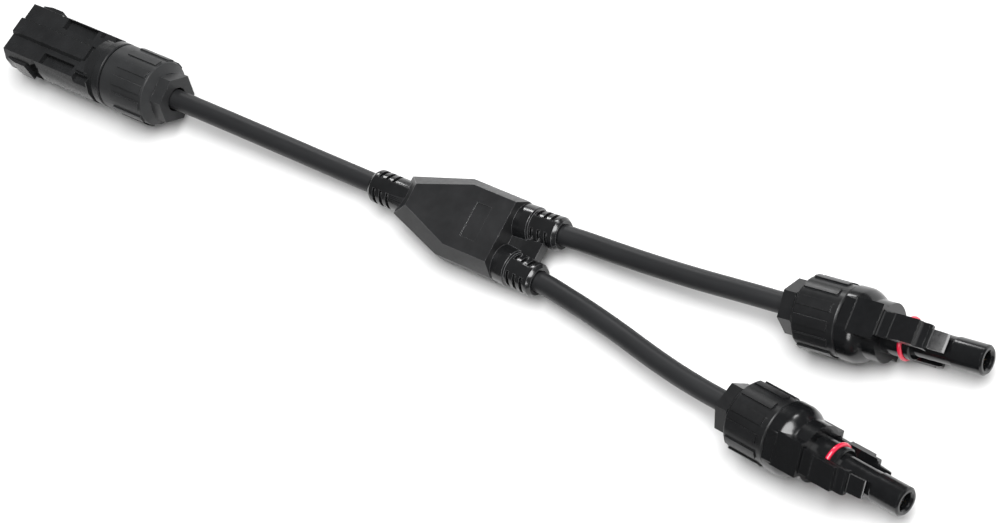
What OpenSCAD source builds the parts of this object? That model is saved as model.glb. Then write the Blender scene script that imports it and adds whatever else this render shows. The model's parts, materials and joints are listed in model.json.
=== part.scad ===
// One-to-two branch lead for photovoltaic strings. One pin coupler at the left end, a moulded
// splitter in the middle and two socket couplers at the right end, joined by three short cables.
// Frame: +Z up, +X from the splitter towards the two socket couplers, origin under the middle of
// the splitter on the surface that it rests on.

/* [Cable] */
// Outer diameter of the cable jacket
cable_d = 5.7; // [5:0.1:5.8]
// Outer diameter of the insulated core inside the jacket
core_d = 3.6; // [3:0.1:4]

/* [Splitter] */
// Length of the splitter's moulded block
block_len = 30.8; // [28:0.1:34]
// Width of the block at its two-cable end
block_w = 22.6; // [22:0.1:26]
// Thickness of the block
block_h = 15; // [14:0.1:16]
// Outer diameter of the ribbed boots
boot_d = 9.2; // [8.6:0.1:9.6]

/* [Gland nuts] */
// Outer diameter over the grip pads
nut_d = 19.4; // [19:0.1:19.6]
// Front rim of the nut on the pin coupler, from the rear of its hexagon
pin_nut_len = 21.3; // [21:0.1:22]
// Front rim of the nuts on the socket couplers, from the same station as the coupler's length
sock_nut_len = 20.3; // [19.8:0.1:21]
// Size across the flats of the hexagon at the cable end
hex_af = 12.4; // [12:0.1:13]
// Number of grip pads round the nut
pad_count = 12; // [8:1:16]

/* [Couplers] */
// Length of the pin coupler from its hexagon to its mouth
pin_len = 58.2; // [57.5:0.1:59]
// Width of the pin coupler's shell
shell_w = 18.6; // [18:0.1:19]
// Height of the pin coupler's flat faces
shell_h = 11.4; // [11.2:0.1:12]
// Length of a socket coupler to its nose tip
sock_len = 59.1; // [58:0.1:60]
// Outer diameter of the nose tube
tube_d = 7.9; // [7.7:0.1:8]
// Diameter of the contact pin
contact_d = 4; // [4:0.1:4]
// Width of a latch arm
arm_w = 6.6; // [6:0.1:7]

/* [Layout] */
// Distance from the origin to the pin coupler's hexagon
pin_x = 104.1; // [100:0.1:110]
// Distance from the origin to the hexagon of coupler A
sock_a_x = 98; // [96:0.1:100]
// Sideways place of the hexagon of coupler A
sock_a_y = 12; // [11.5:0.1:13]
// Heading of coupler A
sock_a_yaw = 6; // [5:0.1:7]
// Distance from the origin to the hexagon of coupler B
sock_b_x = 95.7; // [94:0.1:98]
// Sideways place of the hexagon of coupler B
sock_b_y = -17; // [-18:0.1:-16]
// Heading of coupler B
sock_b_yaw = -4.8; // [-6:0.1:-4]
// Roll of coupler B about its own axis
sock_b_roll = 33; // [0:1:60]
// Roll of the pin coupler about its own axis
pin_roll = 10; // [-20:1:20]

/* [Hidden] */
$fn = 48;
eps = 0.01;

// Heights of the axes above the resting surface
coupler_z = nut_d / 2;
split_z = block_h / 2;

// Gland: all lengths run from the hexagon's rear face towards the mating end
nut_pad_rise = 0.45;
nut_r = nut_d / 2 - nut_pad_rise;
hex_len = 3.7;
sock_hex_start = 2.4;
pin_hex_turn = 44;
sock_a_hex_turn = 15;
sock_b_hex_turn = 17;
nut_hole_r = 3.45;
nut_cavity_r = 7.45;
cavity_start = 8;
spigot_start = 9.4;
spigot_r = 6.7;
thread_crest_r = 7.15;
thread_pitch = 1.5;
gland_bore_r = 5.35;
cage_gap = 0.25;
cage_start = 4.6;
cage_end = 12.6;
cage_r = gland_bore_r - cage_gap;
cage_bore_r = cable_d / 2 + 0.08;
seal_start = 12.9;
seal_end = 18.4;
core_bore_r = 2.6;
jacket_end = 18.5;

// Socket coupler
flange_end = 23.6;
dome_end = 27.2;
sock_front = 31.2;
sock_body_r = 7.75;
flange_r = 9.7;
pad_top = 8.6;
pad_w = 9.4;
flange_rise = 0.35;
stub_r = 5.1;
stub_end = 39.3;
ring_x = 36.8;
ring_minor_r = 0.62;
ring_mid_r = 5.18;
tube_r = tube_d / 2;
tube_back_r = 3.7;
tube_flat = 3.25;
tube_flat_end = 50;
nose_hole_r = 2.3;
nose_lip = 2.2;
socket_r = 2.9;
socket_front = sock_len - nose_lip - 0.1;
socket_back = 27.2;
band_len = 9;

// Latch arm, in the plane of its own thickness: along the coupler, then out from its axis
arm_back = 29.5;
block_back = 34.5;
block_front = 42;
step_front = 45;
finger_front = 49.6;
arm_in = 6.5;
arm_out = 7.5;
block_out = 8.6;
step_out = 7.3;
finger_in = 4.95;
finger_out = 5.55;
finger_w = 5;
root_gap = 0.3;

// Pin coupler
mouth_r = 5.9;
mouth_step = 46.8;
guide_r = 4.2;
guide_step = 27.6;
pin_r = contact_d / 2;
pin_tip = 51.5;
ridge_w = 5.8;
ridge_top = shell_h / 2 + 1.1;
shell_back = 30.5;
pocket_back = 32.6;
pocket_len = 11.8;
pocket_in = 4.4;
pocket_w = 3.3;
pocket_depth = 1.9;
window_back = 45.2;
window_w = 7.2;
hook_start = 49.8;
hook_rise = 0.5;
notch_back = 45.4;
notch_depth = 1.8;
pin_flange_r = 9.3;
pin_flange_end = 24.5;

// Contacts
crimp_r = 2.45;
crimp_bore_r = 1.35;
wire_r = 1.28;
crimp_back = 20.2;
wire_end = 25.6;

// A point on the axis of a coupler, at a station from its hexagon
function on_axis(x, y, yaw, station) = [x + station * cos(yaw), y + station * sin(yaw), coupler_z];

// Cable routes: middles of the cable, from the splitter outwards, and the ends inside the couplers
mid_main = [[-13, 0, 7.5], [-34, 0, 7.5], [-40, 0, 7.6], [-50, 0, 7.9], [-62, 0, 8.5], [-76, 0, 9.2],
    [-88, 0, 9.6], [-96, 0, 9.7]];
mid_a = [[13, 6, 7.5], [30, 7, 7.5], [36, 7.4, 7.6], [46, 7.8, 8], [58, 8.4, 8.6], [72, 9.4, 9.3],
    [84, 10.6, 9.6], [92, 11.4, 9.7], [98, 12, 9.7]];
mid_b = [[13, -6, 7.5], [30, -7, 7.5], [36, -7.7, 7.6], [46, -9.1, 8], [58, -11.2, 8.6], [70, -13.6, 9.2],
    [80, -15.3, 9.6], [88, -16.3, 9.7], [95.7, -17, 9.7]];
function end_main(station) = on_axis(-pin_x, 0, 180, station);
function end_a(station) = on_axis(sock_a_x, sock_a_y, sock_a_yaw, station);
function end_b(station) = on_axis(sock_b_x, sock_b_y, sock_b_yaw, station);
route_main = concat(mid_main, [end_main(jacket_end)]);
route_a = concat(mid_a, [end_a(jacket_end)]);
route_b = concat(mid_b, [end_b(jacket_end)]);

// Bare conductors, from the ferrule to the crimps
wire_main = concat([[-1, 0, 7.5], [-7, 0, 7.5]], mid_main, [end_main(jacket_end), end_main(wire_end)]);
wire_a = concat([[1.6, 1.5, 7.5], [7.6, 1.5, 7.5], [9.2, 3.7, 7.5], [11, 5.88, 7.5]], mid_a,
    [end_a(jacket_end), end_a(wire_end)]);
wire_b = concat([[1.6, -1.5, 7.5], [7.6, -1.5, 7.5], [9.2, -3.7, 7.5], [11, -5.88, 7.5]], mid_b,
    [end_b(jacket_end), end_b(wire_end)]);
cable_sides = 12;

// ---- placing -------------------------------------------------------------------------------

// Turns a shape drawn along Z so that it runs along X
module along_x() rotate([90, 0, 90]) children();

module place_pin() translate([-pin_x, 0, coupler_z]) rotate([0, 0, 180]) rotate([pin_roll, 0, 0]) children();

module place_a() translate([sock_a_x, sock_a_y, coupler_z]) rotate([0, 0, sock_a_yaw]) children();

module place_b()
    translate([sock_b_x, sock_b_y, coupler_z]) rotate([0, 0, sock_b_yaw]) rotate([sock_b_roll, 0, 0]) children();

// A round bar or bore along X between two stations
module bar(x0, x1, r) translate([x0, 0, 0]) along_x() cylinder(h = x1 - x0, r = r);

// A truncated cone along X
module cone(x0, x1, r0, r1) translate([x0, 0, 0]) along_x() cylinder(h = x1 - x0, r1 = r0, r2 = r1);

// A shape turned round X from an outline of [station, radius] points
module turned(outline) along_x() rotate_extrude() polygon([for (p = outline) [p[1], p[0]]]);

// ---- cables --------------------------------------------------------------------------------

function unit(v) = v / norm(v);

function heading(route, i) =
    i == 0 ? unit(route[1] - route[0])
    : i == len(route) - 1 ? unit(route[i] - route[i - 1])
    : unit(unit(route[i + 1] - route[i]) + unit(route[i] - route[i - 1]));

function ring(route, i, r) =
    let (t = heading(route, i), side = unit(cross([0, 0, 1], t)), up = cross(t, side))
    [for (k = [0 : cable_sides - 1])
        let (a = 360 * k / cable_sides) route[i] + r * (cos(a) * side + sin(a) * up)];

function band_faces(first, rings, flip) =
    [for (i = [0 : rings - 2], k = [0 : cable_sides - 1])
        let (a = first + i * cable_sides + k, b = first + i * cable_sides + (k + 1) % cable_sides,
            c = b + cable_sides, d = a + cable_sides)
        flip ? [a, d, c, b] : [a, b, c, d]];

// A solid bar swept along a route
module swept(route, r) {
    n = len(route);
    points = [for (i = [0 : n - 1]) each ring(route, i, r)];
    ends = [[for (k = [cable_sides - 1 : -1 : 0]) k],
        [for (k = [0 : cable_sides - 1]) (n - 1) * cable_sides + k]];
    polyhedron(points, concat(band_faces(0, n, false), ends), convexity = 6);
}

// A tube swept along a route
module swept_tube(route, r_out, r_in) {
    n = len(route);
    m = n * cable_sides;
    points = concat([for (i = [0 : n - 1]) each ring(route, i, r_out)],
        [for (i = [0 : n - 1]) each ring(route, i, r_in)]);
    last = (n - 1) * cable_sides;
    rims = [for (k = [0 : cable_sides - 1])
        let (j = (k + 1) % cable_sides) each [[k, m + k, m + j, j], [last + k, last + j, m + last + j, m + last + k]]];
    polyhedron(points, concat(band_faces(0, n, false), band_faces(m, n, true), rims), convexity = 8);
}

module jacket(route) color("#232426") swept_tube(route, cable_d / 2, core_d / 2 + 0.06);

module core(route) color("#d8d4c8") swept_tube(route, core_d / 2, wire_r + 0.06);

module conductor(route) color("#c87a4a") swept(route, wire_r);

module main_cable_jacket() jacket(route_main);

module cable_a_jacket() jacket(route_a);

module cable_b_jacket() jacket(route_b);

module main_cable_core() core(route_main);

module cable_a_core() core(route_a);

module cable_b_core() core(route_b);

module main_conductor() conductor(wire_main);

module cable_a_conductor() conductor(wire_a);

module cable_b_conductor() conductor(wire_b);

// ---- splitter ------------------------------------------------------------------------------

block_x = block_len / 2;
neck_x = 21.5;
neck_half_w = 5.6;
shoulder_x = 3.5;
bevel = 2.4;
bevel_h = 5.6;
boot_out_main = 32;
boot_out_branch = 28.6;
branch_angle = 3.4;
slot_w = 1.1;
slot_depth = 1;
sleeve_r = 5.1;
sleeve_end = 20;
branch_start = 13.4;
label_x = 4.5;
label_len = 5;
label_w = 10;
web_len = 10.6;
ferrule_half = 7;
ferrule_r = 3.4;
wire_y = 1.5;

function block_outline(inset) =
    [[-neck_x + 2.5 * inset, neck_half_w - inset], [-shoulder_x + 1.9 * inset, block_w / 2 - inset],
     [block_x, block_w / 2 - inset], [block_x, inset - block_w / 2],
     [-shoulder_x + 1.9 * inset, inset - block_w / 2], [-neck_x + 2.5 * inset, inset - neck_half_w]];

module slab(z0, z1, inset) translate([0, 0, z0]) linear_extrude(z1 - z0) polygon(block_outline(inset));

// A ribbed boot along X from the block outwards: a sleeve, three part-round slots and an end ring
module boot(x0, x1) {
    r = boot_d / 2;
    difference() {
        union() {
            bar(x0, x1 - 1, r);
            cone(x1 - 1, x1, r, r - 0.7);
        }
        for (i = [0 : 2])
            translate([x1 - 2.8 - 2.3 * i, 0, 0])
                difference() {
                    bar(-slot_w / 2, slot_w / 2, r + 1);
                    bar(-slot_w, slot_w, r - slot_depth);
                    translate([-slot_w, -1.7, -r - 2]) cube([2 * slot_w, 3.4, 2 * r + 4]);
                }
    }
}

module place_branch(side) translate([branch_start, side * 6, split_z]) rotate([0, 0, side * branch_angle]) children();

module splitter_body() color("#3c3c3c") {
    branch_len = boot_out_branch - branch_start;
    difference() {
        union() {
            hull() {
                slab(bevel_h, block_h - bevel_h, 0);
                slab(0, block_h, bevel);
            }
            translate([0, 0, split_z]) mirror([1, 0, 0]) boot(neck_x - 3, boot_out_main);
            for (side = [-1, 1]) place_branch(side) {
                boot(0, branch_len);
                bar(0, sleeve_end - branch_start - 0.4, sleeve_r);
                cone(sleeve_end - branch_start - 0.4, sleeve_end - branch_start, sleeve_r, sleeve_r - 0.4);
            }
            translate([block_x - 1, -5, split_z - 1.6]) cube([web_len, 10, 3.2]);
        }
        translate([0, 0, split_z]) bar(-boot_out_main - 1, -13, cable_d / 2 + 0.02);
        translate([0, 0, split_z]) bar(-13.2, -ferrule_half, core_bore_r);
        for (side = [-1, 1]) place_branch(side) bar(-0.4, branch_len + 1, cable_d / 2 + 0.15);
        translate([-ferrule_half - 0.1, -ferrule_r - 0.6, split_z - ferrule_r - 0.1])
            cube([2 * ferrule_half + 0.2, 2 * ferrule_r + 1.2, 2 * ferrule_r + 0.2]);
        translate([ferrule_half, -8, split_z - core_bore_r]) cube([6.4, 16, 2 * core_bore_r]);
        translate([label_x, -label_w / 2, block_h - 0.3]) cube([label_len, label_w, 1]);
    }
}

module splice_ferrule() color("#b9bcc0") translate([0, 0, split_z])
    difference() {
        bar(-ferrule_half, ferrule_half, ferrule_r);
        bar(-ferrule_half - 1, 0, crimp_bore_r);
        for (side = [-1, 1]) translate([0, side * wire_y, 0]) bar(1, ferrule_half + 1, crimp_bore_r);
    }

// ---- gland ---------------------------------------------------------------------------------

// Gland nut: hexagon, short cone, then a cylinder with raised grip pads and a plain collar
module gland_nut(start, hex_turn, len, pads_from, pads_to) {
    hex_r = hex_af / 2 / cos(30);
    hex_end = start + hex_len;
    cone_end = hex_end + 1.6;
    pad_w = 2.5;
    difference() {
        union() {
            translate([start, 0, 0]) rotate([hex_turn, 0, 0]) along_x() cylinder(h = hex_len + 0.01, r = hex_r, $fn = 6);
            cone(hex_end, cone_end, hex_af / 2 + 0.4, nut_r - 0.2);
            cone(cone_end, cone_end + 0.6, nut_r - 0.2, nut_r);
            bar(cone_end + 0.6, len - 0.5, nut_r);
            cone(len - 0.5, len, nut_r, nut_r - 0.35);
            intersection() {
                bar(pads_from, pads_to, nut_d / 2);
                for (i = [0 : pad_count - 1])
                    rotate([360 * i / pad_count, 0, 0])
                        translate([pads_from, -pad_w / 2, nut_r - 1]) cube([pads_to - pads_from, pad_w, 2]);
            }
        }
        bar(-1, 4.2, nut_hole_r);
        cone(4, cavity_start, nut_hole_r, 5.6);
        bar(cavity_start - eps, len + 1, nut_cavity_r);
    }
}

module clamp_cage() {
    fingers = 6;
    finger_slot = 0.9;
    difference() {
        turned([[cage_start, cage_bore_r], [cage_start, 3.4], [7.8, cage_r], [cage_end, cage_r],
            [cage_end, cage_bore_r]]);
        for (i = [0 : fingers - 1])
            rotate([360 * i / fingers, 0, 0])
                translate([cage_start - 1, -finger_slot / 2, 0]) cube([6, finger_slot, cage_r + 1]);
    }
}

module gland_seal() turned([[seal_start, cable_d / 2 + 0.01], [seal_start, gland_bore_r - 0.5],
    [seal_start + 0.8, gland_bore_r - 0.02], [seal_end, gland_bore_r - 0.02], [seal_end, cable_d / 2 + 0.01]]);

// Threaded spigot's outline as [station, radius] points, with one ridge for each pitch
function spigot_outline(shoulder) =
    let (ridges = floor((shoulder - spigot_start - 2.4) / thread_pitch))
    concat([[spigot_start, 0], [spigot_start, spigot_r - 0.4], [spigot_start + 0.4, spigot_r]],
        [for (i = [0 : ridges])
            let (x = spigot_start + 1.4 + i * thread_pitch)
            each [[x - 0.5, spigot_r], [x, thread_crest_r], [x + 0.5, spigot_r]]],
        [[shoulder, spigot_r]]);

// ---- socket coupler ------------------------------------------------------------------------

module socket_housing() {
    shoulder = sock_nut_len + 0.3;
    difference() {
        union() {
            intersection() {
                turned(concat(spigot_outline(shoulder), [[shoulder, flange_r], [flange_end, flange_r],
                    [flange_end + 1.3, flange_r - 0.35], [flange_end + 2.6, flange_r - 1.1],
                    [dome_end, sock_body_r], [sock_front, sock_body_r], [sock_front, 0]]));
                union() {
                    translate([0, -12, -pad_top - flange_rise])
                        cube([flange_end, 24, 2 * (pad_top + flange_rise)]);
                    translate([0, -12, -pad_top + eps]) cube([60, 24, 2 * (pad_top - eps)]);
                }
            }
            translate([flange_end - 0.5, -pad_w / 2, -pad_top])
                cube([sock_front - flange_end + 0.5, pad_w, 2 * pad_top]);
            turned([[sock_front - 1, 0], [sock_front - 1, stub_r], [ring_x - 0.75, stub_r],
                [ring_x - 0.75, ring_mid_r - 0.75], [ring_x + 0.75, ring_mid_r - 0.75],
                [ring_x + 0.75, stub_r], [stub_end - 0.4, stub_r], [stub_end, stub_r - 0.4],
                [stub_end, tube_back_r], [tube_flat_end, tube_back_r], [tube_flat_end + 0.5, tube_r],
                [sock_len - 0.5, tube_r], [sock_len, tube_r - 0.5], [sock_len, 0]]);
        }
        bar(spigot_start - 1, seal_end + 0.2, gland_bore_r);
        bar(seal_end, socket_front + 0.1, socket_r + 0.05 - 0.2);
        bar(sock_len - nose_lip - 1, sock_len + 1, nose_hole_r);
        cone(sock_len - 0.6, sock_len + 0.1, nose_hole_r, nose_hole_r + 0.6);
        for (turn = [0, 180]) rotate([turn, 0, 0]) {
            translate([arm_back - root_gap, -arm_w / 2 - root_gap, arm_in - root_gap])
                cube([4, arm_w + 2 * root_gap, arm_out - arm_in + 2 * root_gap]);
            translate([stub_end + eps, -tube_r - 1, tube_flat])
                cube([tube_flat_end - stub_end, 2 * tube_r + 2, 2]);
        }
    }
}

// One latch arm on the +Z side: root, catch block, step and lead-in finger
module latch_arm() {
    finger_back = step_front - 1;
    translate([0, arm_w / 2, 0]) rotate([90, 0, 0]) linear_extrude(arm_w)
        polygon([[arm_back, arm_in], [step_front - 1.2, arm_in], [step_front - 0.4, finger_in + 0.6],
            [step_front, finger_in + 0.6], [step_front, step_out - 0.5], [step_front - 0.5, step_out],
            [block_front, step_out], [block_front, block_out], [block_back + 0.9, block_out],
            [block_back + 0.9, block_out - 0.25], [block_back + 0.5, block_out - 0.25],
            [block_back + 0.5, block_out], [block_back, block_out], [block_back, arm_out],
            [arm_back, arm_out]]);
    translate([0, finger_w / 2, 0]) rotate([90, 0, 0]) linear_extrude(finger_w)
        polygon([[finger_back, finger_in + 0.4], [finger_front, finger_in], [finger_front, finger_out - 0.3],
            [finger_front - 0.6, finger_out], [finger_back, finger_out + 0.7]]);
}

module nose_seal() along_x() translate([0, 0, ring_x]) rotate_extrude()
    translate([ring_mid_r, 0]) circle(r = ring_minor_r);

module socket_contact() {
    body_r = socket_r - 0.2;
    bore_start = socket_front - band_len - 6;
    difference() {
        turned([[crimp_back, 0], [crimp_back, crimp_r], [socket_back, crimp_r], [socket_back, body_r],
            [socket_front - 0.4, body_r], [socket_front, body_r - 0.3], [socket_front, 0]]);
        bar(crimp_back - 1, wire_end + 0.4, crimp_bore_r);
        bar(bore_start, socket_front + 1, pin_r + 0.3);
        bar(wire_end - 0.6, wire_end, 0.5);
    }
}

// Louvred band that lines the socket and grips the pin
module contact_band() {
    band_back = socket_front - band_len - 2;
    difference() {
        turned([[band_back, pin_r + 0.04], [band_back, pin_r + 0.26], [band_back + band_len, pin_r + 0.26],
            [band_back + band_len, pin_r + 0.04]]);
        for (i = [0 : 5])
            rotate([60 * i, 0, 0]) translate([band_back + 1.2, -0.2, 0]) cube([band_len - 2.4, 0.4, 4]);
    }
}

// ---- pin coupler ---------------------------------------------------------------------------

function shell_section(w, h) =
    [[-w / 2, h / 2 - 3.6], [1.4 - w / 2, h / 2], [w / 2 - 1.4, h / 2], [w / 2, h / 2 - 3.6],
     [w / 2, 3.6 - h / 2], [w / 2 - 1.4, -h / 2], [1.4 - w / 2, -h / 2], [-w / 2, 3.6 - h / 2]];

module along_shell(x0, x1) translate([x0, 0, 0]) along_x() linear_extrude(x1 - x0) children();

module pin_housing() color("#1d1e20") place_pin() {
    shoulder = pin_nut_len + 0.3;
    difference() {
        union() {
            turned(concat(spigot_outline(shoulder), [[shoulder, pin_flange_r - 0.3], [shoulder + 0.3, pin_flange_r],
                [pin_flange_end - 0.5, pin_flange_r], [pin_flange_end, pin_flange_r - 0.5], [pin_flange_end, 8.6],
                [27.6, 8.6], [27.6, 0]]));
            along_shell(pin_flange_end + 1.2, pin_len) polygon(shell_section(shell_w, shell_h));
            for (turn = [0, 180]) rotate([turn, 0, 0]) {
                along_shell(shell_back, pin_len)
                    polygon([[-ridge_w / 2, 4], [-ridge_w / 2, shell_h / 2], [0.6 - ridge_w / 2, ridge_top],
                        [ridge_w / 2 - 0.6, ridge_top], [ridge_w / 2, shell_h / 2], [ridge_w / 2, 4]]);
                for (side = [-1, 1])
                    translate([26.6, side * 4.1 - 1.6, 4]) cube([4.4, 3.2, shell_h / 2 - 4 + 0.9]);
            }
            for (side = [0, 1]) mirror([0, side, 0])
                translate([0, 0, -3.4]) linear_extrude(6.8)
                    polygon([[hook_start, shell_w / 2 - 1], [hook_start, shell_w / 2 + hook_rise],
                        [hook_start + 4, shell_w / 2 + hook_rise], [hook_start + 7, shell_w / 2 - 0.1],
                        [hook_start + 7, shell_w / 2 - 1]]);
        }
        bar(spigot_start - 1, seal_end + 0.2, gland_bore_r);
        bar(seal_end, guide_step + 1, socket_r + 0.05);
        bar(guide_step, mouth_step + 1, guide_r);
        bar(mouth_step, pin_len + 1, mouth_r);
        cone(pin_len - 0.5, pin_len + 0.1, mouth_r, mouth_r + 0.4);
        for (side = [0, 1]) mirror([0, side, 0]) {
            translate([window_back, 0, -window_w / 2])
                cube([pin_len, shell_w / 2 - 0.9, window_w]);
            translate([window_back, 0, -window_w / 2])
                cube([hook_start - window_back, shell_w, window_w]);
            linear_extrude(shell_h) polygon([[notch_back, shell_w / 2 - 0.4],
                [notch_back + 1.3, shell_w / 2 - notch_depth], [notch_back + 4.6, shell_w / 2 + 1],
                [notch_back, shell_w / 2 + 1]]);
        }
        for (turn = [0, 180], side = [-1, 1]) rotate([turn, 0, 0]) {
            translate([pocket_back, side > 0 ? pocket_in : -pocket_in - pocket_w, shell_h / 2 - pocket_depth])
                cube([pocket_len, pocket_w, pocket_depth + 1]);
            translate([26.2, side > 0 ? 6.2 : -6.2 - 2.4, shell_h / 2 - 1.7]) cube([5, 2.4, 3]);
        }
    }
}

module pin_contact() color("#c9ccd0") place_pin()
    difference() {
        turned([[crimp_back, 0], [crimp_back, crimp_r], [guide_step - 0.8, crimp_r],
            [guide_step - 0.8, socket_r], [guide_step + 1.4, socket_r], [guide_step + 1.4, pin_r],
            [pin_tip - 1.4, pin_r], [pin_tip - 0.4, pin_r - 0.5], [pin_tip, pin_r - 1.1], [pin_tip, 0]]);
        bar(crimp_back - 1, wire_end + 0.4, crimp_bore_r);
    }

module pin_gland_seal() color("#b03030") place_pin() gland_seal();

module pin_clamp_cage() color("#6b6e72") place_pin() clamp_cage();

module pin_gland_nut() color("#2c2d2f") place_pin() gland_nut(0, pin_hex_turn, pin_nut_len, 6, 16.5);

// ---- the two socket couplers ---------------------------------------------------------------

module sock_nut(hex_turn) gland_nut(sock_hex_start, hex_turn, sock_nut_len, 8.4, 18.1);

module socket_a_housing() color("#18191b") place_a() socket_housing();
module socket_a_latch_upper() color("#1f2022") place_a() latch_arm();
module socket_a_latch_lower() color("#1f2022") place_a() rotate([180, 0, 0]) latch_arm();
module socket_a_nose_seal() color("#c8193c") place_a() nose_seal();
module socket_a_contact() color("#c9ccd0") place_a() socket_contact();
module socket_a_contact_band() color("#d9c27a") place_a() contact_band();
module socket_a_gland_seal() color("#b03030") place_a() gland_seal();
module socket_a_clamp_cage() color("#6b6e72") place_a() clamp_cage();
module socket_a_gland_nut() color("#2c2d2f") place_a() sock_nut(sock_a_hex_turn);

module socket_b_housing() color("#18191b") place_b() socket_housing();
module socket_b_latch_upper() color("#1f2022") place_b() latch_arm();
module socket_b_latch_lower() color("#1f2022") place_b() rotate([180, 0, 0]) latch_arm();
module socket_b_nose_seal() color("#c8193c") place_b() nose_seal();
module socket_b_contact() color("#c9ccd0") place_b() socket_contact();
module socket_b_contact_band() color("#d9c27a") place_b() contact_band();
module socket_b_gland_seal() color("#b03030") place_b() gland_seal();
module socket_b_clamp_cage() color("#6b6e72") place_b() clamp_cage();
module socket_b_gland_nut() color("#2c2d2f") place_b() sock_nut(sock_b_hex_turn);

splitter_body();
splice_ferrule();
main_cable_jacket();
cable_a_jacket();
cable_b_jacket();
main_cable_core();
cable_a_core();
cable_b_core();
main_conductor();
cable_a_conductor();
cable_b_conductor();
pin_housing();
pin_contact();
pin_gland_seal();
pin_clamp_cage();
pin_gland_nut();
socket_a_housing();
socket_a_latch_upper();
socket_a_latch_lower();
socket_a_nose_seal();
socket_a_contact();
socket_a_contact_band();
socket_a_gland_seal();
socket_a_clamp_cage();
socket_a_gland_nut();
socket_b_housing();
socket_b_latch_upper();
socket_b_latch_lower();
socket_b_nose_seal();
socket_b_contact();
socket_b_contact_band();
socket_b_gland_seal();
socket_b_clamp_cage();
socket_b_gland_nut();
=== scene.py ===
import json
import math

import bmesh
import bpy
import numpy as np
from mathutils import Matrix, Vector


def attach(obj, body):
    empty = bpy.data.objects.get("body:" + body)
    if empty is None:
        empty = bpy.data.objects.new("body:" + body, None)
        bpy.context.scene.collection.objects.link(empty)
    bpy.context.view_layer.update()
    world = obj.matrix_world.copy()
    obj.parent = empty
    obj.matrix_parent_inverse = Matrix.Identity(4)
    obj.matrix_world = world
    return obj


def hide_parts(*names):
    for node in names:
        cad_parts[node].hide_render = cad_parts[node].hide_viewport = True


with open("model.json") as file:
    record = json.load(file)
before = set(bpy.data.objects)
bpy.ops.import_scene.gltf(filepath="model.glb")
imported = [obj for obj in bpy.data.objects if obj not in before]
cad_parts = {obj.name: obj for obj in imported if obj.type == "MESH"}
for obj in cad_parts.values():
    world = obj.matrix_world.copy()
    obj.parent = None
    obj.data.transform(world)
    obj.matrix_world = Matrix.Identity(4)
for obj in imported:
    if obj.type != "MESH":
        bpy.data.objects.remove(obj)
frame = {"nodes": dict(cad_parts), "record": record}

MM = 0.001
RECORD = frame["record"]
NODES = frame["nodes"]
JOINTS = {j["name"]: j for j in RECORD["behaviour"]["joints"]}
BODY_OF = {n: b for b, members in RECORD["behaviour"]["bodies"].items() for n in members}
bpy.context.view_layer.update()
Z = Vector((0, 0, 1))

# ---- camera --------------------------------------------------------------------------------

CAMERA_AZIMUTH = 76.8
CAMERA_ELEVATION = 55.4
CAMERA_ROLL = 51.1
CAMERA_DISTANCE = 1.167
CAMERA_AIM = Vector((0.0096, -0.0049, 0))
LENS = 159.3
CLIP_END = 20


def make_camera():
    """A camera at the photograph's viewing angle, with the picture turned counter-clockwise."""
    a, e, roll = (math.radians(v) for v in (CAMERA_AZIMUTH, CAMERA_ELEVATION, CAMERA_ROLL))
    back = Vector((math.sin(a) * math.cos(e), -math.cos(a) * math.cos(e), math.sin(e)))
    right = Vector((math.cos(a), math.sin(a), 0))
    up = back.cross(right)
    image_x = math.cos(roll) * right - math.sin(roll) * up
    image_y = math.sin(roll) * right + math.cos(roll) * up
    camera = bpy.data.objects.new("camera", bpy.data.cameras.new("camera"))
    bpy.context.scene.collection.objects.link(camera)
    turn = Matrix((image_x, image_y, back)).transposed()
    camera.matrix_world = Matrix.Translation(CAMERA_AIM + back * CAMERA_DISTANCE) @ turn.to_4x4()
    camera.data.lens = LENS
    camera.data.clip_end = CLIP_END
    bpy.context.scene.camera = camera


make_camera()

# ---- materials -----------------------------------------------------------------------------

# texture sizes in repeats per metre
SLOW_SCALE = 170.0
SCUFF_SCALE = 700.0
NOISE_SPAN = (0.3, 0.7)
BUMP_STRENGTH = 0.5
COAT_ROUGHNESS = 0.08


def node(tree, kind, **settings):
    """A shader node with its properties and its input values set."""
    made = tree.nodes.new(kind)
    for key, value in settings.items():
        if key in made.inputs:
            made.inputs[key].default_value = value
        else:
            setattr(made, key, value)
    return made


def ramp(tree, source, low, high, values):
    """Maps a source value between low and high to two output values."""
    made = node(tree, "ShaderNodeMapRange", clamp=True)
    for name, value in zip(("From Min", "From Max", "To Min", "To Max"), (low, high, *values)):
        made.inputs[name].default_value = value
    tree.links.new(source, made.inputs["Value"])
    return made.outputs["Result"]


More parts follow.
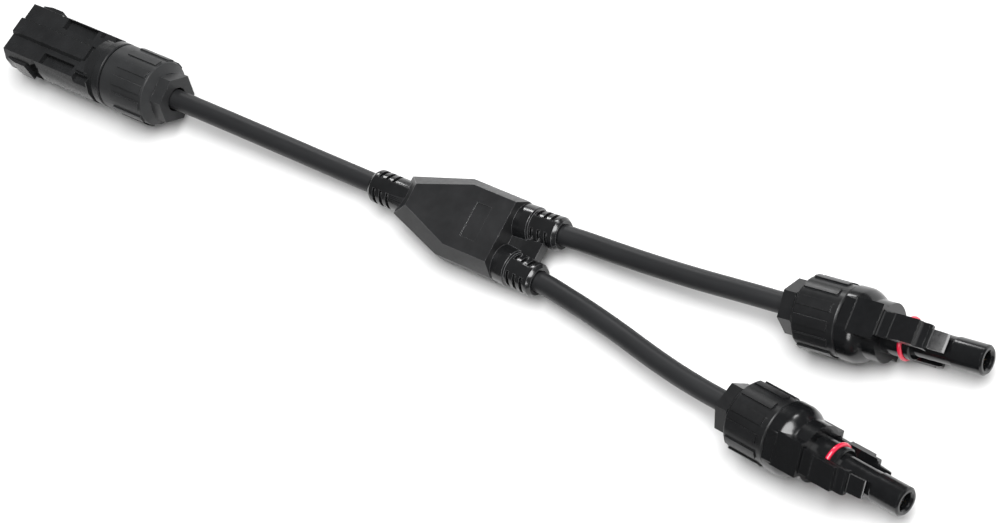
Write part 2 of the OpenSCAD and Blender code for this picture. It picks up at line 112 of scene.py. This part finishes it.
def surface(name, color, roughness, grain=4000.0, depth=0.00001, mottle=0.18, stretch=(1, 1, 1),
            metallic=0.0, coat=0.0, specular=0.5, spread=0.08, ior=1.5):
    """A moulded, extruded or plated surface: fine grain, slow colour variation and uneven gloss."""
    mat = bpy.data.materials.new(name)
    mat.use_nodes = True
    tree = mat.node_tree
    shader = tree.nodes["Principled BSDF"]
    shader.inputs["Metallic"].default_value = metallic
    shader.inputs["Coat Weight"].default_value = coat
    shader.inputs["Coat Roughness"].default_value = COAT_ROUGHNESS
    shader.inputs["Specular IOR Level"].default_value = specular
    shader.inputs["IOR"].default_value = ior
    link = tree.links.new
    where = node(tree, "ShaderNodeTexCoord")
    place = node(tree, "ShaderNodeMapping")
    place.inputs["Scale"].default_value = stretch
    link(where.outputs["Object"], place.inputs["Vector"])
    fine = node(tree, "ShaderNodeTexNoise", Scale=grain, Detail=2.0, Roughness=0.5)
    slow = node(tree, "ShaderNodeTexNoise", Scale=SLOW_SCALE, Detail=4.0, Roughness=0.55)
    scuff = node(tree, "ShaderNodeTexNoise", Scale=SCUFF_SCALE, Detail=5.0, Roughness=0.65)
    for texture in (fine, slow, scuff):
        link(place.outputs["Vector"], texture.inputs["Vector"])
    tint = node(tree, "ShaderNodeMix", data_type="RGBA")
    tint.inputs[6].default_value = [c * (1 - mottle) for c in color] + [1]
    tint.inputs[7].default_value = [min(1, c * (1 + mottle)) for c in color] + [1]
    link(ramp(tree, slow.outputs["Fac"], *NOISE_SPAN, (0, 1)), tint.inputs[0])
    link(tint.outputs[2], shader.inputs["Base Color"])
    gloss = (roughness - spread / 2, roughness + spread / 2)
    link(ramp(tree, scuff.outputs["Fac"], *NOISE_SPAN, gloss), shader.inputs["Roughness"])
    bump = node(tree, "ShaderNodeBump", Strength=BUMP_STRENGTH, Distance=depth)
    link(fine.outputs["Fac"], bump.inputs["Height"])
    link(bump.outputs["Normal"], shader.inputs["Normal"])
    return mat


MATERIALS = {
    "nut_plastic": surface("satin_polyamide", (0.0165, 0.0170, 0.0176), 0.40, ior=1.30),
    "housing_plastic": surface("gloss_polyamide", (0.0040, 0.0042, 0.0046), 0.20, depth=0.000004,
                               specular=0.42),
    "splitter_plastic": surface("satin_overmould", (0.0140, 0.0142, 0.0148), 0.36, depth=0.000006, ior=1.22),
    "cable_jacket": surface("cable_jacket", (0.0108, 0.0111, 0.0118), 0.46, grain=2600.0, depth=0.000015,
                            mottle=0.12, stretch=(0.2, 1, 1), ior=1.33),
    "red_seal": surface("red_silicone", (0.56, 0.010, 0.040), 0.22, mottle=0.08, coat=0.3),
    "gland_rubber": surface("grey_silicone", (0.10, 0.10, 0.11), 0.55, mottle=0.1),
    "cage_plastic": surface("cage_polyamide", (0.09, 0.09, 0.095), 0.45, mottle=0.1),
    "core_insulation": surface("core_insulation", (0.66, 0.65, 0.61), 0.5, mottle=0.05),
    "tinned_copper": surface("tinned_copper", (0.74, 0.62, 0.52), 0.34, metallic=1.0, mottle=0.12),
    "contact_spring": surface("spring_copper", (0.80, 0.58, 0.27), 0.25, metallic=1.0, mottle=0.1),
    "tin_plate": surface("tin_plate", (0.72, 0.73, 0.75), 0.27, metallic=1.0, mottle=0.07),
}

# painted highlight: a lighter colour along the rounded edges, where the plastic is also smoother
PAINTED_EDGE_HIGHLIGHT = {
    "nut_plastic": surface("satin_polyamide_edge", (0.055, 0.056, 0.057), 0.26, mottle=0.3),
    "housing_plastic": surface("gloss_polyamide_edge", (0.065, 0.066, 0.067), 0.20, mottle=0.3),
    "splitter_plastic": surface("satin_overmould_edge", (0.075, 0.076, 0.078), 0.24, mottle=0.3),
}
# a darker, glossier copy of the nut plastic for the socket nuts; the darker colour is painted shade on the
# socket end of the lead
SHADED_SOCKET_NUT = surface("gloss_nut", (0.0065, 0.0067, 0.0071), 0.33, ior=1.36)
PIN_SHELL = surface("satin_shell", (0.0115, 0.0118, 0.0123), 0.27, depth=0.000006, ior=1.26)
GLOSS_BOOT = surface("gloss_overmould", (0.0060, 0.0062, 0.0066), 0.20, mottle=0.25, depth=0.00003,
                     grain=1500.0)

SLOT_OF = {s["node"]: s["material_slot"] for s in RECORD["subparts"]}
for name, cad in NODES.items():
    cad.data.materials.clear()
    cad.data.materials.append(MATERIALS[SLOT_OF[name]])

# ---- cords ---------------------------------------------------------------------------------

CABLE_D = 5.7 * MM
JACKET_END = 18.5
ROUTES = {
    "main_cable": [(-13, 0, 7.5), (-34, 0, 7.5), (-40, 0, 7.6), (-50, 0, 7.9), (-62, 0, 8.5), (-76, 0, 9.2),
                   (-88, 0, 9.6), (-96, 0, 9.7)],
    "cable_a": [(13, 6, 7.5), (30, 7, 7.5), (36, 7.4, 7.6), (46, 7.8, 8), (58, 8.4, 8.6), (72, 9.4, 9.3),
                (84, 10.6, 9.6), (92, 11.4, 9.7), (98, 12, 9.7)],
    "cable_b": [(13, -6, 7.5), (30, -7, 7.5), (36, -7.7, 7.6), (46, -9.1, 8), (58, -11.2, 8.6),
                (70, -13.6, 9.2), (80, -15.3, 9.6), (88, -16.3, 9.7), (95.7, -17, 9.7)],
}
COUPLER_OF = {"main_cable": "pin", "cable_a": "socket_a", "cable_b": "socket_b"}
COUPLER_ROLL = {"pin": 10, "socket_a": 0, "socket_b": 33}


def coupler_frame(key):
    """The coupler's own frame: X from its hexagon to its mating end, Z out of its upper side. In metres."""
    joint = JOINTS[key + "_nut_turn"]
    along = -Vector(joint["axis"])
    side = Z.cross(along).normalized()
    roll = math.radians(COUPLER_ROLL[key])
    up = math.cos(roll) * Z - math.sin(roll) * side
    turn = Matrix((along, up.cross(along), up)).transposed()
    return Matrix.Translation(Vector(joint["pos_m"])) @ turn.to_4x4()


FRAMES = {key: coupler_frame(key) for key in COUPLER_ROLL}


def smooth_route(points, per_span=3):
    """Catmull-Rom points through the route's points."""
    p = [np.array(q, float) for q in points]
    p = [2 * p[0] - p[1]] + p + [2 * p[-1] - p[-2]]
    line = []
    for a, b, c, d in zip(p, p[1:], p[2:], p[3:]):
        for t in np.linspace(0, 1, per_span, endpoint=False):
            line.append(0.5 * (2 * b + (c - a) * t + (2 * a - 5 * b + 4 * c - d) * t**2
                               + (3 * b - a - 3 * c + d) * t**3))
    return line + [p[-2]]


def make_cord(name):
    """The jacket of one cable, along its whole route from the splitter into the coupler."""
    end = FRAMES[COUPLER_OF[name]] @ Vector((JACKET_END * MM, 0, 0))
    line = smooth_route([tuple(c * MM for c in p) for p in ROUTES[name]] + [tuple(end)])
    curve = bpy.data.curves.new(name, "CURVE")
    curve.dimensions = "3D"
    curve.bevel_depth = CABLE_D / 2
    curve.bevel_resolution = 8
    curve.use_fill_caps = True
    spline = curve.splines.new("POLY")
    spline.points.add(len(line) - 1)
    for point, co in zip(spline.points, line):
        point.co = (*co, 1)
    spline.use_smooth = True
    cord = bpy.data.objects.new(name, curve)
    bpy.context.scene.collection.objects.link(cord)
    curve.materials.append(MATERIALS["cable_jacket"])
    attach(cord, "lead")
    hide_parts(name + "_jacket")


for name in ROUTES:
    make_cord(name)

# ---- rounded pieces ------------------------------------------------------------------------


def link_mesh(name, mesh, like):
    """A piece that stands for a CAD node: on its body, in its slot and with its material."""
    piece = bpy.data.objects.new(name, mesh)
    bpy.context.scene.collection.objects.link(piece)
    mesh.materials.clear()
    mesh.materials.append(MATERIALS[SLOT_OF[like]])
    # the second slot holds the edge material, lighter as a painted highlight
    mesh.materials.append(PAINTED_EDGE_HIGHLIGHT[SLOT_OF[like]])
    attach(piece, BODY_OF[like])
    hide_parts(like)
    return piece


EDGE_ANGLE = 28
SHARP_ANGLE = 75
FLAT_ANGLE = 0.5
WELD_DISTANCE = 1e-6
BODY_MATERIAL, EDGE_MATERIAL, BOOT_MATERIAL = 0, 1, 2
BLOCK_FROM, BLOCK_TO = -21.6, 15.5  # the splitter's block in mm; its boots lie outside


def rounded_copy(like, radius):
    """The CAD node's shape with its edges rounded, and a lighter edge material along those edges as a
    painted highlight.
    """
    mesh = NODES[like].data.copy()
    bm = bmesh.new()
    bm.from_mesh(mesh)
    bmesh.ops.remove_doubles(bm, verts=bm.verts, dist=WELD_DISTANCE)
    flat = math.radians(FLAT_ANGLE)
    bmesh.ops.dissolve_limit(bm, angle_limit=flat, verts=bm.verts, edges=bm.edges)
    bm.to_mesh(mesh)
    bm.free()
    piece = link_mesh(like + "_piece", mesh, like)
    mesh.polygons.foreach_set("material_index", [BODY_MATERIAL] * len(mesh.polygons))
    bevel = piece.modifiers.new("round", "BEVEL")
    bevel.width = radius * MM
    bevel.segments = 2
    bevel.limit_method = "ANGLE"
    bevel.angle_limit = math.radians(EDGE_ANGLE)
    bevel.miter_outer = "MITER_ARC"
    # the bevel's faces take the edge material with the painted highlight
    bevel.material = EDGE_MATERIAL
    mesh.shade_smooth()
    weigh = piece.modifiers.new("flat faces stay flat", "WEIGHTED_NORMAL")
    weigh.mode = "FACE_AREA"
    weigh.weight = 100
    weigh.keep_sharp = True
    mesh.set_sharp_from_angle(angle=math.radians(SHARP_ANGLE))
    return piece


# rounding of each piece's edges, mm
ROUNDING = {
    "splitter_body": 0.15, "pin_housing": 0.15, "pin_gland_nut": 0.2,
    "socket_a_gland_nut": 0.2, "socket_b_gland_nut": 0.2, "socket_a_housing": 0.15, "socket_b_housing": 0.15,
    "socket_a_latch_upper": 0.12, "socket_a_latch_lower": 0.12,
    "socket_b_latch_upper": 0.12, "socket_b_latch_lower": 0.12,
}
ROUNDED = {like: rounded_copy(like, radius) for like, radius in ROUNDING.items()}

ROUNDED["pin_housing"].data.materials[BODY_MATERIAL] = PIN_SHELL
for key in ("socket_a", "socket_b"):
    # socket nuts: the darker copy of the nut plastic, with painted shade
    ROUNDED[key + "_gland_nut"].data.materials[BODY_MATERIAL] = SHADED_SOCKET_NUT

splitter = ROUNDED["splitter_body"].data
splitter.materials.append(GLOSS_BOOT)
for face in splitter.polygons:
    if not BLOCK_FROM * MM <= face.center.x <= BLOCK_TO * MM:
        face.material_index = BOOT_MATERIAL

# ---- stage ---------------------------------------------------------------------------------

FLOOR_COLOR = (0.62, 0.62, 0.62)
FLOOR_RADIUS = 6
FLOOR_DROP = 0.0001
WORLD_STRENGTH = 0.14
# name, place, diameter and power of each soft lamp; each one points at the origin
LAMPS = (
    ("overhead", (0.6, 0.3, 1.5), 1.4, 66),
    ("rim", (-0.65, 0.95, 0.42), 0.22, 3),
    ("side", (0.35, 1.3, 0.8), 0.35, 5),
    ("front", (0.5, -1.2, 0.8), 0.4, 5),
)


def make_stage():
    """A pale floor under the lead, and soft studio light from large panels."""
    bpy.ops.mesh.primitive_circle_add(
        vertices=96, radius=FLOOR_RADIUS, fill_type="NGON", location=(0, 0, -FLOOR_DROP))
    floor = bpy.context.object
    floor.name = "floor"
    floor.data.materials.append(surface("floor", FLOOR_COLOR, 0.9, grain=300.0, mottle=0.01, specular=0.1))
    world = bpy.data.worlds.new("studio")
    world.use_nodes = True
    world.node_tree.nodes["Background"].inputs["Color"].default_value = (1, 1, 1, 1)
    world.node_tree.nodes["Background"].inputs["Strength"].default_value = WORLD_STRENGTH
    bpy.context.scene.world = world
    for name, at, size, power in LAMPS:
        lamp = bpy.data.lights.new(name, "AREA")
        lamp.shape = "DISK"
        lamp.size = size
        lamp.energy = power
        lit = bpy.data.objects.new(name, lamp)
        lit.location = at
        lit.rotation_mode = "QUATERNION"
        lit.rotation_quaternion = (-Vector(at)).to_track_quat("-Z", "Y")
        bpy.context.scene.collection.objects.link(lit)
    bpy.context.scene.view_settings.view_transform = "Standard"


make_stage()
